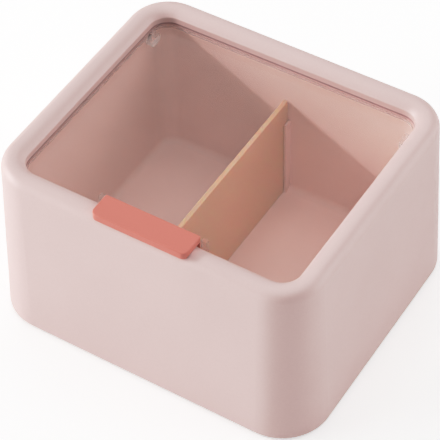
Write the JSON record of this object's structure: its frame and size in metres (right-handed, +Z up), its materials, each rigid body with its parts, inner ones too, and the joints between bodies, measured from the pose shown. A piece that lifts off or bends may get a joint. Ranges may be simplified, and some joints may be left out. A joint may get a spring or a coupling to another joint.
{
  "type": "cotton pad box with hinged lid",
  "caption": "Plastic cotton pad holder: a rounded box with two compartments, a slide-in divider and a clear hinged lid with a finger tab.",
  "frame": {"origin": "middle of the surface the box stands on, in the plane of the feet", "axes": "+Z up, -Y towards the side with the finger tab, +X to the right seen from that side"},
  "size_m": [0.1472, 0.1282, 0.0836],
  "materials": {
    "casing": "satin, pale dusty pink",
    "tray": "satin, pale dusty pink",
    "divider": "satin, pale dusty pink",
    "base": "satin, pale dusty pink",
    "feet": "soft, pale grey",
    "clear_lid": "clear, polished",
    "handle": "satin, coral"
  },
  "bodies": {
    "box": {"outer_shell": "casing", "inner_tray": "tray", "base_cover": "base", "foot_front_left": "feet", "foot_front_right": "feet", "foot_back_left": "feet", "foot_back_right": "feet"},
    "lid": {"lid_panel": "clear_lid", "handle_tab": "handle"},
    "divider": {"divider": "divider"}
  },
  "joints": [
    {"name": "lid_hinge", "type": "hinge", "parent": "box", "child": "lid", "pos_m": [0, 0.0415, 0.0728], "axis": [-1, 0, 0], "range_deg": [0, 105]},
    {"name": "divider_slide", "type": "slide", "parent": "box", "child": "divider", "axis": [0, 0, 1], "range_m": [0, 0.005]}
  ]
}
